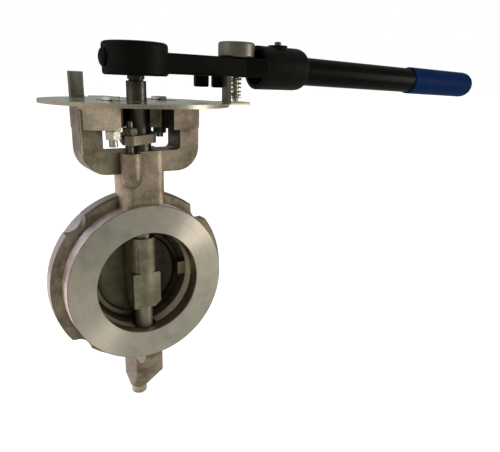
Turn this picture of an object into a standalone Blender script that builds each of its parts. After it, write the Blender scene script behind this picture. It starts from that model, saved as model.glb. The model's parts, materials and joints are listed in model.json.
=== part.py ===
"""Wafer-style butterfly valve with a locking lever handle.

Frame: +Z runs up the stem, +Y runs along the pipe towards the seat side, and
the lever lies along +X when the disc is shut.  The origin is where the stem
axis meets the axis of the bore.  Lengths below are in millimetres and are
turned into metres by MM.
"""
import math

import bmesh
import bpy
from mathutils import Matrix, Vector

MM = 0.001
GAP = 0.3                    # clearance kept between pieces that touch

# cast body
FACE_R = 63.5                # raised gasket face, outer radius
FRONT_Y = -15.0              # front gasket face
REAR_Y = 33.0                # rear gasket face
FLANGE_R = 71.8              # plate that carries the bolt scallops
FLANGE_Y0 = -0.9
FLANGE_Y1 = 10.8
BOTTOM_R = 68.2              # flange radius between the two lower scallops
SCALLOP_CIRCLE_R = 76.2      # pipe flange bolt circle
SCALLOP_R = 11.0
BORE_R = 41.5
SEAT_STEP_Y = 13.7           # shoulder that the seat ring sits against
SEAT_POCKET_R = 46.3
RETAINER_STEP_Y = 20.0
RETAINER_POCKET_R = 56.3
NECK_HALF_X = 17.5
NECK_HALF_Y = 12.5
NECK_CORNER = 8.0
NECK_TOP_Z = 103.5
YOKE_LEFT_X = -45.0
YOKE_RIGHT_X = 45.6
YOKE_FRONT_Y = -10.5
YOKE_REAR_Y = 12.2
YOKE_INNER_X = 29.7
YOKE_BOTTOM_Z = 87.5
YOKE_CORNER = 18.0
PAD_BOTTOM_Z = 119.5
PAD_TOP_Z = 136.2
PAD_HALF_Y = 20.5
PAD_RIGHT_X = 47.0
NOTCH_LEFT_X = -19.9
NOTCH_RIGHT_X = 20.0
BOSS_FRONT = (-10.5, 11.9, -83.0)    # y, half width in x, height of the shoulder
BOSS_REAR = (11.0, 15.0, -88.0)
BOSS_END_Z = -98.0
BOSS_END_R = 7.3
FOOT_X = -5.5                # blanking plug under the bottom boss
FOOT_Y = 3.0
FOOT_R = 6.4
FOOT_END_Z = -105.6
STOP_LUG_X = 33.8
STOP_LUG_Y0 = 5.5
STOP_LUG_Y1 = 11.7

# stem, bearings and packing
STEM_R = 7.3
STEM_BOTTOM_Z = -72.0
STEM_SHOULDER_Z = 152.8
STEM_TOP_R = 6.2
STEM_TOP_Z = 176.8
BEARING_R = 9.2
STUFFING_R = 9.9
STUFFING_BOTTOM_Z = 76.0
FOLLOWER_R = 9.6

# gland
GLAND_Z0 = 109.3
GLAND_Z1 = 115.8
GLAND_R = 13.3
GLAND_NOSE_R = 5.6
STUD_X = 12.3                # rear stud; the front one is diagonally opposite
STUD_Y = 17.0
STUD_R = 2.4
STUD_BOSS_R = 7.5

# disc
DISC_R = 37.9
DISC_EDGE_Y = 15.0           # plane of the sealing edge, behind the stem
HUB_R = 10.4
HUB_TOP_Z = 35.5
BLOCK_TOP_Z = 7.0
BLOCK_BOTTOM_Z = -22.5
BLOCK_HALF_X = 11.3
BLOCK_FRONT_Y = -9.6
PIN_R = 2.5

# notch plate
PLATE_R = 67.5
PLATE_Z0 = 136.6
PLATE_Z1 = 139.2
EAR_LENGTH = 94.5
EAR_HALF_W = 8.5
TAB_R = 66.0
TAB_TOP_Z = 158.3
TABS = ((-16.3, 8.75), (112.9, 6.3))    # angle and half width of each stop tab
PLATE_BOLT_CIRCLE_R = 28.0
PLATE_BOLT_ANGLE = 32.0
PLATE_BOLT_HEAD = 11.6
PLATE_BOLT_HEAD_HEIGHT = 2.5

# lever
HEAD_R = 23.3
HEAD_Z0 = 156.3
HEAD_Z1 = 178.5
ARM_Z0 = 158.3
ARM_Z1 = 172.7
ARM_HALF_Y = 10.0
LUG_X0 = 56.5
LUG_X1 = 70.0
LUG_BOTTOM_Z = 149.7
SOCKET_X0 = 103.0
SOCKET_X1 = 150.0
SOCKET_R = 17.15
SOCKET_Z = 166.3
SOCKET_SCREW_X = 125.0
TUBE_R = 11.65
TUBE_DROOP = math.radians(1.15)
TUBE_X0 = 122.5
TUBE_X1 = 380.0
GRIP_X0 = 291.0
GRIP_R = 12.9
PIN_X = 84.5
LOCK_PIN_R = 2.6
KNOB_R = 14.6
KNOB_Z0 = 173.1
KNOB_Z1 = 184.3
CLIP_Z0 = 141.9
CLIP_Z1 = 142.7
SPRING_Z0 = 143.6            # centre of the wire at each end
SPRING_Z1 = 157.4


# ---------------------------------------------------------------- materials

def material(name, colour, roughness, metallic):
    mat = bpy.data.materials.new(name)
    mat.use_nodes = True
    shader = mat.node_tree.nodes["Principled BSDF"]
    shader.inputs["Base Color"].default_value = (*colour, 1.0)
    shader.inputs["Roughness"].default_value = roughness
    shader.inputs["Metallic"].default_value = metallic
    mat.diffuse_color = (*colour, 1.0)
    return mat


def make_materials():
    table = {
        "cast_stainless": ((0.42, 0.38, 0.34), 0.48, 1.0),
        "disc_casting": ((0.36, 0.34, 0.31), 0.45, 1.0),
        "turned_stainless": ((0.60, 0.58, 0.54), 0.28, 1.0),
        "plate_stainless": ((0.66, 0.66, 0.64), 0.18, 1.0),
        "bright_fastener": ((0.66, 0.66, 0.65), 0.24, 1.0),
        "seat_ptfe": ((0.85, 0.84, 0.80), 0.45, 0.0),
        "packing_ptfe": ((0.80, 0.79, 0.75), 0.55, 0.0),
        "bearing_liner": ((0.33, 0.30, 0.25), 0.55, 0.0),
        "lever_paint": ((0.045, 0.048, 0.042), 0.38, 0.0),
        "tube_paint": ((0.075, 0.078, 0.070), 0.34, 0.0),
        "grip_vinyl": ((0.055, 0.115, 0.29), 0.36, 0.0),
        "spring_steel": ((0.55, 0.52, 0.46), 0.28, 1.0),
    }
    return {name: material(name, *row) for name, row in table.items()}


# ------------------------------------------------------------ shape helpers

def new_object(name, bm, mat, sharp_deg=32.0):
    bmesh.ops.remove_doubles(bm, verts=bm.verts, dist=1e-7)
    bmesh.ops.recalc_face_normals(bm, faces=bm.faces)
    mesh = bpy.data.meshes.new(name)
    bm.to_mesh(mesh)
    bm.free()
    mesh.materials.append(mat)
    mesh.shade_smooth()
    mesh.set_sharp_from_angle(angle=math.radians(sharp_deg))
    obj = bpy.data.objects.new(name, mesh)
    bpy.context.scene.collection.objects.link(obj)
    return obj


def turned(name, profile, mat, segments=32, axis="Z", centre=(0.0, 0.0, 0.0)):
    """Turn a closed outline of (radius, height) points about an axis."""
    bm = bmesh.new()
    rings = []
    for radius, height in profile:
        ring = []
        count = segments if radius > 1e-6 else 1
        for step in range(count):
            angle = 2.0 * math.pi * step / segments
            x = radius * math.cos(angle)
            y = radius * math.sin(angle)
            if axis == "Z":
                point = Vector((x, y, height))
            elif axis == "Y":
                point = Vector((x, height, y))
            else:
                point = Vector((height, x, y))
            ring.append(bm.verts.new((point + Vector(centre)) * MM))
        rings.append(ring)
    for index in range(len(rings)):
        one = rings[index]
        two = rings[(index + 1) % len(rings)]
        if len(one) == 1 and len(two) == 1:
            continue
        for step in range(segments):
            nxt = (step + 1) % segments
            if len(one) == 1:
                bm.faces.new((one[0], two[step], two[nxt]))
            elif len(two) == 1:
                bm.faces.new((one[step], one[nxt], two[0]))
            else:
                bm.faces.new((one[step], one[nxt], two[nxt], two[step]))
    return new_object(name, bm, mat)


def rod(name, radius, low, high, mat, segments=24, axis="Z", centre=(0.0, 0.0, 0.0)):
    profile = [(0.0, high), (radius, high), (radius, low), (0.0, low)]
    return turned(name, profile, mat, segments, axis, centre)


def ring(name, inner, outer, low, high, mat, segments=32, axis="Z", centre=(0.0, 0.0, 0.0)):
    profile = [(inner, high), (outer, high), (outer, low), (inner, low)]
    return turned(name, profile, mat, segments, axis, centre)


def prism(name, outline, low, high, mat, axis="Z"):
    """Extrude a closed outline along an axis."""
    bm = bmesh.new()
    base = []
    for a, b in outline:
        if axis == "Z":
            point = (a, b, low)
        elif axis == "Y":
            point = (a, low, b)
        else:
            point = (low, a, b)
        base.append(bm.verts.new(Vector(point) * MM))
    face = bm.faces.new(base)
    made = bmesh.ops.extrude_face_region(bm, geom=[face])
    moved = [item for item in made["geom"] if isinstance(item, bmesh.types.BMVert)]
    shift = {"Z": (0, 0, 1), "Y": (0, 1, 0), "X": (1, 0, 0)}[axis]
    bmesh.ops.translate(bm, verts=moved, vec=Vector(shift) * (high - low) * MM)
    return new_object(name, bm, mat)


def box(name, x0, x1, y0, y1, z0, z1, mat):
    outline = [(x0, y0), (x1, y0), (x1, y1), (x0, y1)]
    return prism(name, outline, z0, z1, mat)


def arc(cx, cy, radius, start, end, steps):
    points = []
    for step in range(steps + 1):
        angle = math.radians(start + (end - start) * step / steps)
        points.append((cx + radius * math.cos(angle), cy + radius * math.sin(angle)))
    return points


def rounded_rectangle(x0, x1, y0, y1, corner, steps=5):
    points = []
    points += arc(x1 - corner, y0 + corner, corner, -90, 0, steps)
    points += arc(x1 - corner, y1 - corner, corner, 0, 90, steps)
    points += arc(x0 + corner, y1 - corner, corner, 90, 180, steps)
    points += arc(x0 + corner, y0 + corner, corner, 180, 270, steps)
    return points


def hexagon(across_flats, turn=0.0, centre=(0.0, 0.0)):
    radius = across_flats / math.sqrt(3.0)
    points = []
    for step in range(6):
        angle = math.radians(60.0 * step + turn)
        points.append((centre[0] + radius * math.cos(angle), centre[1] + radius * math.sin(angle)))
    return points


def polar(radius, degrees):
    angle = math.radians(degrees)
    return radius * math.cos(angle), radius * math.sin(angle)


def place(obj, matrix):
    obj.data.transform(matrix)
    return obj


def about_z(degrees):
    return Matrix.Rotation(math.radians(degrees), 4, "Z")


def combine(target, other, operation):
    """Apply a Boolean of two solids and drop the second one."""
    mod = target.modifiers.new("shape", "BOOLEAN")
    mod.operation = operation
    mod.solver = "EXACT"
    mod.object = other
    bpy.context.view_layer.update()
    graph = bpy.context.evaluated_depsgraph_get()
    mesh = bpy.data.meshes.new_from_object(target.evaluated_get(graph))
    target.modifiers.remove(mod)
    old = target.data
    mesh.name = old.name
    target.data = mesh
    bpy.data.meshes.remove(old)
    spare = other.data
    bpy.data.objects.remove(other)
    bpy.data.meshes.remove(spare)
    bm = bmesh.new()
    bm.from_mesh(mesh)
    bmesh.ops.remove_doubles(bm, verts=bm.verts, dist=2e-6)
    bmesh.ops.dissolve_degenerate(bm, edges=bm.edges, dist=2e-6)
    bm.to_mesh(mesh)
    bm.free()
    while len(mesh.materials) > 1:
        mesh.materials.pop()
    mesh.shade_smooth()
    mesh.set_sharp_from_angle(angle=math.radians(32.0))
    return target


def cut(target, cutter):
    return combine(target, cutter, "DIFFERENCE")


def add(target, other):
    return combine(target, other, "UNION")


# ---------------------------------------------------------------- cast body

def body_ring(mats):
    """Outer shape of the ring, with both gasket faces and the scalloped flange."""
    mat = mats["cast_stainless"]
    body = turned("valve_body", [
        (30.0, REAR_Y), (FACE_R, REAR_Y), (FACE_R, FRONT_Y + 0.6), (FACE_R - 0.6, FRONT_Y),
        (30.0, FRONT_Y),
    ], mat, 80, "Y")
    flange = turned("flange", [
        (50.0, FLANGE_Y1), (FLANGE_R, FLANGE_Y1), (FLANGE_R, FLANGE_Y0 + 1.6),
        (FLANGE_R - 1.6, FLANGE_Y0), (50.0, FLANGE_Y0),
    ], mat, 80, "Y")
    sector = arc(0, 0, BOTTOM_R, 226, 314, 18) + arc(0, 0, 90.0, 314, 226, 6)
    cut(flange, prism("trim", sector, FLANGE_Y0 - 4, FLANGE_Y1 + 4, mat, "Y"))
    for angle in (45, 135, 223, 317):
        x, z = polar(SCALLOP_CIRCLE_R, angle)
        cutter = rod("scallop", SCALLOP_R, FLANGE_Y0 - 4, FLANGE_Y1 + 4, mat, 28, "Y", (x, 0, z))
        cut(flange, cutter)
    return add(body, flange)


def body_neck(mats):
    """Neck, with the yoke that carries the notch plate on its flat top pad."""
    mat = mats["cast_stainless"]
    outline = rounded_rectangle(
        -NECK_HALF_X, NECK_HALF_X, -NECK_HALF_Y, NECK_HALF_Y, NECK_CORNER, 6)
    neck = prism("neck", outline, 48.0, NECK_TOP_Z, mat)
    low = YOKE_BOTTOM_Z + YOKE_CORNER
    outer = [(YOKE_RIGHT_X, PAD_TOP_Z - 3.0), (YOKE_LEFT_X, PAD_TOP_Z - 3.0)]
    outer += arc(YOKE_LEFT_X + YOKE_CORNER, low, YOKE_CORNER, 180, 270, 9)
    outer += arc(YOKE_RIGHT_X - YOKE_CORNER, low, YOKE_CORNER, 270, 360, 9)
    yoke = prism("yoke", outer, YOKE_FRONT_Y, YOKE_REAR_Y, mat, "Y")
    soften(yoke, 1.1, 2)
    window = arc(-YOKE_INNER_X + 3.5, NECK_TOP_Z + 3.5, 3.5, 180, 270, 4)
    window += arc(YOKE_INNER_X - 3.5, NECK_TOP_Z + 3.5, 3.5, 270, 360, 4)
    window += [(YOKE_INNER_X, PAD_BOTTOM_Z - 1.2), (YOKE_INNER_X - 1.2, PAD_BOTTOM_Z)]
    window += [(-YOKE_INNER_X + 1.2, PAD_BOTTOM_Z), (-YOKE_INNER_X, PAD_BOTTOM_Z - 1.2)]
    cut(yoke, prism("window", window, YOKE_FRONT_Y - 5, YOKE_REAR_Y + 5, mat, "Y"))
    pad_line = [(33.9, -PAD_HALF_Y), (PAD_RIGHT_X, -8.3), (PAD_RIGHT_X, 13.0), (36.5, PAD_HALF_Y)]
    pad_line += [(-36.5, PAD_HALF_Y), (YOKE_LEFT_X, 13.0), (YOKE_LEFT_X, -9.0)]
    pad_line += [(-22.2, -22.6), (-19.4, -21.4)]
    pad = prism("pad", pad_line, PAD_BOTTOM_Z, PAD_TOP_Z, mat)
    notch = [(NOTCH_LEFT_X, -PAD_HALF_Y - 5), (NOTCH_RIGHT_X, -PAD_HALF_Y - 5)]
    notch += arc(NOTCH_RIGHT_X - 2.0, -1.0, 2.0, 0, 90, 4)
    notch += arc(0.0, 0.0, 10.5, 5.5, 174.5, 16)
    notch += arc(NOTCH_LEFT_X + 2.0, -1.0, 2.0, 90, 180, 4)
    add(yoke, pad)
    cut(yoke, prism("notch", notch, PAD_BOTTOM_Z - 6, PAD_TOP_Z + 5, mat))
    cut(yoke, box("nut_room", STUD_X - 5.9, STUD_X + 5.9, 11.2, PAD_HALF_Y + 5,
                  PAD_BOTTOM_Z - 6, PAD_TOP_Z + 5, mat))
    add(neck, yoke)
    for side in (-1, 1):
        boss = stud_boss(side, mat)
        add(neck, boss)
    return neck


def soften(obj, width, segments):
    """Round off the rim of both flat faces of an upright casting."""
    bm = bmesh.new()
    bm.from_mesh(obj.data)
    rim = [edge for edge in bm.edges if abs(edge.verts[0].co.y - edge.verts[1].co.y) < 1e-6]
    bmesh.ops.bevel(bm, geom=rim, offset=width * MM, segments=segments, profile=0.5, affect="EDGES")
    bm.to_mesh(obj.data)
    bm.free()


def stud_boss(side, mat):
    """Rounded rib on the neck that takes one gland stud."""
    radius = STUD_BOSS_R
    bottom = 77.6
    profile = [(0.0, NECK_TOP_Z), (radius, NECK_TOP_Z)]
    for step in range(4):
        angle = math.radians(22.5 * step)
        profile.append((radius * math.cos(angle), bottom + radius - radius * math.sin(angle)))
    profile.append((0.0, bottom))
    return turned("stud_boss", profile, mat, 20, "Z", (side * STUD_X, side * STUD_Y, 0))


def body_foot(mats):
    """Bottom boss round the lower bearing, tapering to the blanking plug."""
    y0, wide0, z0 = BOSS_FRONT
    y1, wide1, z1 = BOSS_REAR
    corners = [(-wide0, y0, z0, 45), (wide0, y0, z0, 135), (wide1, y1, z1, 225), (-wide1, y1, z1, 315)]
    shoulder = []
    low = []
    for x, y, z, heading in corners:
        for step in range(4):
            angle = math.radians(heading + 135.0 + 30.0 * step)
            dx = 2.2 * math.cos(angle)
            dy = 2.2 * math.sin(angle)
            inner_x = x - math.copysign(2.2, x)
            inner_y = y + (2.2 if y < 0 else -2.2)
            shoulder.append((inner_x + dx, inner_y + dy, z))
            low.append((FOOT_X + BOSS_END_R * math.cos(angle), FOOT_Y + BOSS_END_R * math.sin(angle)))
    bm = bmesh.new()
    loops = [
        [bm.verts.new(Vector((x, y, -52.0)) * MM) for x, y, _ in shoulder],
        [bm.verts.new(Vector(point) * MM) for point in shoulder],
        [bm.verts.new(Vector((x, y, BOSS_END_Z)) * MM) for x, y in low],
    ]
    bm.faces.new(loops[0])
    bm.faces.new(loops[-1])
    count = len(shoulder)
    for upper, lower in zip(loops[:-1], loops[1:]):
        for index in range(count):
            nxt = (index + 1) % count
            bm.faces.new((upper[index], upper[nxt], lower[nxt], lower[index]))
    return new_object("foot", bm, mats["cast_stainless"])


def body_cuts(body, mats):
    """Machine the bore, the seat pockets and the holes for the stem and screws."""
    mat = mats["cast_stainless"]
    bore = turned("bore", [
        (0.0, REAR_Y + 6), (RETAINER_POCKET_R, REAR_Y + 6), (RETAINER_POCKET_R, RETAINER_STEP_Y),
        (SEAT_POCKET_R, RETAINER_STEP_Y), (SEAT_POCKET_R, SEAT_STEP_Y), (38.9, SEAT_STEP_Y),
        (40.7, 6.2), (41.0, 5.4), (BORE_R, -3.0), (BORE_R, FRONT_Y + 0.5), (BORE_R + 0.5, FRONT_Y),
        (BORE_R + 6.5, FRONT_Y - 6), (0.0, FRONT_Y - 6),
    ], mat, 64, "Y")
    cut(body, bore)
    stem_way = turned("stem_way", [
        (0.0, NECK_TOP_Z + 10), (STUFFING_R, NECK_TOP_Z + 10), (STUFFING_R, STUFFING_BOTTOM_Z),
        (STEM_R + 0.4, STUFFING_BOTTOM_Z), (STEM_R + 0.4, 71.0), (BEARING_R + GAP, 71.0),
        (BEARING_R + GAP, 30.0), (0.0, 30.0),
    ], mat, 24)
    cut(body, stem_way)
    cut(body, rod("lower_way", BEARING_R + GAP, -76.0, -30.0, mat, 24))
    for side in (-1, 1):
        cut(body, rod("stud_hole", STUD_R + GAP, 90.0, NECK_TOP_Z + 6, mat, 16, "Z",
                      (side * STUD_X, side * STUD_Y, 0)))
        x, y = polar(PLATE_BOLT_CIRCLE_R, PLATE_BOLT_ANGLE)
        cut(body, rod("bolt_hole", 3.25, PAD_BOTTOM_Z - 6, PAD_TOP_Z + 6, mat, 16, "Z",
                      (side * x, side * y, 0)))
    for angle in (0, 90, 180, 270):
        x, z = polar(50.6, angle)
        cut(body, rod("screw_hole", 2.6, 8.5, RETAINER_STEP_Y + 6, mat, 12, "Y", (x, 0, z)))
    cut(body, rod("foot_hole", 3.3, BOSS_END_Z - 6, -91.5, mat, 16, "Z", (FOOT_X, FOOT_Y, 0)))
    return body


def body_lugs(body, mats):
    """Over-travel stop inside the bore and the small cast lug under the ring."""
    mat = mats["cast_stainless"]
    stop = box("stop", STOP_LUG_X, 44.0, STOP_LUG_Y0, STOP_LUG_Y1, -5.2, 5.8, mat)
    add(body, stop)
    lug = prism("ring_lug", [(-13.4, -60.0), (-12.2, -65.2), (-10.4, -68.6), (-7.0, -68.6),
                             (-5.6, -65.4), (-4.6, -60.0)], FRONT_Y + 0.3, -8.0, mat, "Y")
    add(body, lug)
    return body


def make_body(mats):
    body = body_ring(mats)
    add(body, body_neck(mats))
    add(body, body_foot(mats))
    body_cuts(body, mats)
    body_lugs(body, mats)
    return body


# ------------------------------------------------------------ seat and trim

def make_seat(mats):
    made = []
    made.append(turned("seat_ring", [
        (38.75, SEAT_STEP_Y + GAP), (38.25, 15.2), (38.25, 17.6), (38.7, RETAINER_STEP_Y - 0.3),
        (SEAT_POCKET_R - GAP, RETAINER_STEP_Y - 0.3), (SEAT_POCKET_R - GAP, SEAT_STEP_Y + GAP),
    ], mats["seat_ptfe"], 64, "Y"))
    retainer = turned("seat_retainer", [
        (40.2, REAR_Y), (RETAINER_POCKET_R - GAP, REAR_Y),
        (RETAINER_POCKET_R - GAP, RETAINER_STEP_Y + GAP),
        (38.7, RETAINER_STEP_Y + GAP), (38.7, 24.0),
    ], mats["turned_stainless"], 64, "Y")
    for index, angle in enumerate((0, 90, 180, 270)):
        x, z = polar(50.6, angle)
        cutter = turned("seat_screw_way", [
            (0.0, REAR_Y + 5), (4.7, REAR_Y + 5), (4.7, 28.0), (2.7, 28.0),
            (2.7, RETAINER_STEP_Y - 5), (0.0, RETAINER_STEP_Y - 5),
        ], mats["turned_stainless"], 16, "Y", (x, 0, z))
        cut(retainer, cutter)
        screw = turned("retainer_screw_%d" % (index + 1), [
            (0.0, 32.3), (3.9, 32.3), (4.3, 31.9), (4.3, 28.4), (2.3, 28.4), (2.3, 10.0), (0.0, 10.0),
        ], mats["bright_fastener"], 16, "Y", (x, 0, z))
        socket = hexagon(4.0, 0.0, (x, z))
        cut(screw, prism("socket", socket, 29.8, 36.0, mats["bright_fastener"], "Y"))
        made.append(screw)
    made.append(retainer)
    return made


def make_bearings(mats):
    made = []
    liner = mats["bearing_liner"]
    made.append(ring("upper_bearing", STEM_R + GAP, BEARING_R, 42.4, 70.6, liner, 20))
    made.append(ring("lower_bearing", STEM_R + GAP, BEARING_R, -71.6, -42.4, liner, 20))
    made.append(rod("thrust_pad", BEARING_R, -75.6, STEM_BOTTOM_Z - GAP, liner, 20))
    packing = mats["packing_ptfe"]
    spacer = mats["turned_stainless"]
    made.append(ring("packing_spacer", STEM_R + GAP, FOLLOWER_R, 76.3, 78.3, spacer, 20))
    for index in range(3):
        low = 78.6 + 6.0 * index
        name = "packing_ring_%d" % (index + 1)
        made.append(ring(name, STEM_R + GAP, FOLLOWER_R, low, low + 5.7, packing, 20))
    made.append(turned("bottom_plug", [
        (0.0, -92.5), (3.0, -92.5), (3.0, BOSS_END_Z - GAP), (FOOT_R, BOSS_END_Z - GAP),
        (FOOT_R, FOOT_END_Z + 1.2), (FOOT_R - 1.2, FOOT_END_Z), (0.0, FOOT_END_Z),
    ], mats["cast_stainless"], 20, "Z", (FOOT_X, FOOT_Y, 0)))
    return made


# -------------------------------------------------------------------- gland

def tangent_outline(centre_r, nose_r, nose_x, nose_y, steps):
    """Outline of a two-lobed gland: two small noses joined to a round middle."""
    reach = math.hypot(nose_x, nose_y)
    heading = math.degrees(math.atan2(nose_y, nose_x))
    lean = math.degrees(math.acos((centre_r - nose_r) / reach))
    points = []
    points += arc(nose_x, nose_y, nose_r, heading - lean, heading + lean, steps)
    points += arc(0.0, 0.0, centre_r, heading + lean, heading + 180 - lean, 6)
    points += arc(-nose_x, -nose_y, nose_r, heading + 180 - lean, heading + 180 + lean, steps)
    points += arc(0.0, 0.0, centre_r, heading + 180 + lean, heading + 360 - lean, 6)
    return points


def make_gland(mats):
    made = []
    steel = mats["cast_stainless"]
    outline = tangent_outline(GLAND_R, GLAND_NOSE_R, STUD_X, STUD_Y, 8)
    flange = prism("gland_flange", outline, GLAND_Z0, GLAND_Z1, steel)
    cut(flange, rod("stem_hole", STEM_R + 0.4, GLAND_Z0 - 5, GLAND_Z1 + 5, steel, 32))
    for side in (-1, 1):
        centre = (side * STUD_X, side * STUD_Y, 0)
        cut(flange, rod("stud_hole", STUD_R + 0.4, GLAND_Z0 - 5, GLAND_Z1 + 5, steel, 16, "Z", centre))
    made.append(flange)
    made.append(ring("gland_follower", STEM_R + 0.4, FOLLOWER_R, 96.6, GLAND_Z0 - GAP,
                     mats["turned_stainless"], 32))
    for side, tag in ((-1, "front"), (1, "rear")):
        centre = (side * STUD_X, side * STUD_Y, 0)
        made.append(turned("gland_stud_" + tag, [
            (0.0, 126.0), (STUD_R - 0.5, 126.0), (STUD_R, 125.5), (STUD_R, 90.8), (0.0, 90.8),
        ], mats["bright_fastener"], 16, "Z", centre))
        nut_line = hexagon(9.4, 20.0, (centre[0], centre[1]))
        nut = prism("gland_nut_" + tag, nut_line, GLAND_Z1 + GAP, GLAND_Z1 + 5.4, mats["bright_fastener"])
        chamfer_nut(nut, centre, 5.43, GLAND_Z1 + GAP, GLAND_Z1 + 5.4)
        cut(nut, rod("thread_way", STUD_R + GAP, 110.0, 130.0, mats["bright_fastener"], 16, "Z", centre))
        made.append(nut)
    return made


def chamfer_nut(nut, centre, corner_r, low, high):
    """Trim the six corners of a nut or bolt head with a turned shape."""
    middle = 0.5 * (low + high)
    flat_r = corner_r * math.cos(math.radians(30.0))
    profile = [
        (0.0, high + 0.01), (flat_r, high + 0.01), (corner_r + 0.35, high - 1.0),
        (corner_r + 0.35, middle), (corner_r + 0.35, low + 1.0), (flat_r, low - 0.01), (0.0, low - 0.01),
    ]
    keep = turned("chamfer", profile, nut.data.materials[0], 24, "Z", centre)
    return combine(nut, keep, "INTERSECT")


# --------------------------------------------------------------------- disc

def make_disc(mats):
    """Disc casting with its round hub, square pin block and rear rib."""
    mat = mats["disc_casting"]
    swing = math.hypot(DISC_R, DISC_EDGE_Y)
    profile = [(0.0, 16.6), (27.0, 16.4), (32.5, 14.6), (34.0, 12.2), (37.3, 12.2), (DISC_R, 12.9)]
    profile += [(DISC_R, DISC_EDGE_Y)]
    for y in (17.0, 19.2):
        profile.append((math.sqrt(swing * swing - y * y) - 0.05, y))
    profile += [(34.6, 20.8), (24.0, 21.8), (0.0, 22.2)]
    disc = turned("disc", profile, mat, 60, "Y")
    hub = rod("hub", HUB_R, BLOCK_BOTTOM_Z + 0.6, HUB_TOP_Z, mat, 32)
    web = box("web", -9.4, 9.4, 1.0, 18.0, BLOCK_BOTTOM_Z + 1.4, HUB_TOP_Z - 2.5, mat)
    add(hub, web)
    x = BLOCK_HALF_X
    block_line = [(-x + 1.0, BLOCK_TOP_Z), (-x, BLOCK_TOP_Z - 1.0), (-x, BLOCK_BOTTOM_Z + 1.0),
                  (-x + 1.0, BLOCK_BOTTOM_Z), (x - 4.6, BLOCK_BOTTOM_Z), (x, BLOCK_BOTTOM_Z + 4.0),
                  (x, BLOCK_TOP_Z - 1.0), (x - 1.0, BLOCK_TOP_Z)]
    block = prism("block", block_line, BLOCK_FRONT_Y, 0.6, mat, "Y")
    add(hub, block)
    rib = box("rib", -6.0, 6.0, 9.4, 18.0, -33.0, BLOCK_BOTTOM_Z + 2, mat)
    add(hub, rib)
    add(disc, hub)
    cut(disc, rod("stem_hole", STEM_R + GAP, -34.5, 45.0, mat, 24))
    for z in (-1.0, -14.5):
        cut(disc, rod("pin_hole", PIN_R + GAP, -20, 20, mat, 16, "X", (0, 0, z)))
    return disc


def make_stem(mats):
    mat = mats["turned_stainless"]
    stem = turned("stem", [
        (0.0, STEM_TOP_Z), (STEM_TOP_R - 0.8, STEM_TOP_Z), (STEM_TOP_R, STEM_TOP_Z - 0.8),
        (STEM_TOP_R, STEM_SHOULDER_Z + 1.0), (STEM_TOP_R - 0.9, STEM_SHOULDER_Z + 1.0),
        (STEM_TOP_R - 0.9, STEM_SHOULDER_Z), (STEM_R - 0.5, STEM_SHOULDER_Z),
        (STEM_R, STEM_SHOULDER_Z - 0.5),
        (STEM_R, STEM_BOTTOM_Z + 1.0), (STEM_R - 1.0, STEM_BOTTOM_Z), (0.0, STEM_BOTTOM_Z),
    ], mat, 24)
    for z in (-1.0, -14.5):
        cut(stem, rod("pin_hole", PIN_R + GAP, -20, 20, mat, 16, "X", (0, 0, z)))
    cut(stem, box("keyway", -1.8, 1.8, 4.0, 12.0, 159.5, 190.0, mat))
    made = [stem]
    for index, z in enumerate((-1.0, -14.5)):
        made.append(rod("disc_pin_%d" % (index + 1), PIN_R, -10.6, 10.6, mat, 16, "X", (0, 0, z)))
    made.append(box("lever_key", -1.5, 1.5, 4.3, 7.6, 160.0, 175.8, mats["bright_fastener"]))
    return made


# -------------------------------------------------------------- notch plate

def plate_outline():
    """Rim of the notch plate, with its two ears and the two tongues that bend up."""
    points = []
    root = 61.5
    features = []
    for angle in (0, 90):
        w = EAR_HALF_W
        features.append((angle, w, [
            (EAR_LENGTH - 2.0, -w), (EAR_LENGTH, 2.0 - w), (EAR_LENGTH, w - 2.0), (EAR_LENGTH - 2.0, w)]))
    for angle, half_width in TABS:
        relief = half_width + 0.9
        side = half_width - 0.05
        features.append((angle, relief, [
            (root, -relief), (root, -side), (TAB_R + 0.9, -side), (TAB_R + 0.9, side), (root, side),
            (root, relief)]))
    features.sort()
    count = len(features)
    for index in range(count):
        angle, half, local = features[index]
        spread = math.degrees(math.asin(half / PLATE_R))
        points.append(polar(PLATE_R, angle - spread))
        for reach, across in local:
            x, y = polar(reach, angle)
            dx, dy = polar(across, angle + 90)
            points.append((x + dx, y + dy))
        points.append(polar(PLATE_R, angle + spread))
        after, next_half, _ = features[(index + 1) % count]
        if index == count - 1:
            after += 360.0
        stop = after - math.degrees(math.asin(next_half / PLATE_R))
        start = angle + spread
        steps = max(1, round((stop - start) / 4.5))
        for step in range(1, steps):
            points.append(polar(PLATE_R, start + (stop - start) * step / steps))
    return points


def tab(angle, half_width, mat):
    """Upturned stop tab that grows out of its tongue at the rim."""
    line = [(TAB_R - 2.0, PLATE_Z0 + 1.0), (TAB_R + 1.2, PLATE_Z0 + 0.3), (TAB_R + 2.4, PLATE_Z0 + 1.3),
            (TAB_R + 3.0, PLATE_Z0 + 2.8), (TAB_R + 3.0, TAB_TOP_Z), (TAB_R, TAB_TOP_Z),
            (TAB_R, PLATE_Z1 + 1.0), (TAB_R - 0.8, PLATE_Z1 + 0.2), (TAB_R - 2.0, PLATE_Z1 - 0.2)]
    piece = prism("tab", line, -half_width, half_width, mat, "Y")
    return place(piece, about_z(angle))


def curved_slot(radius, width, start, end):
    """Outline of a slot that follows a circle about the stem."""
    half = 0.5 * width
    points = arc(0, 0, radius + half, start, end, 12)
    x, y = polar(radius, end)
    points += arc(x, y, half, end, end + 180, 6)[1:-1]
    points += arc(0, 0, radius - half, end, start, 10)
    x, y = polar(radius, start)
    points += arc(x, y, half, start + 180, start + 360, 6)[1:-1]
    return points


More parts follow.
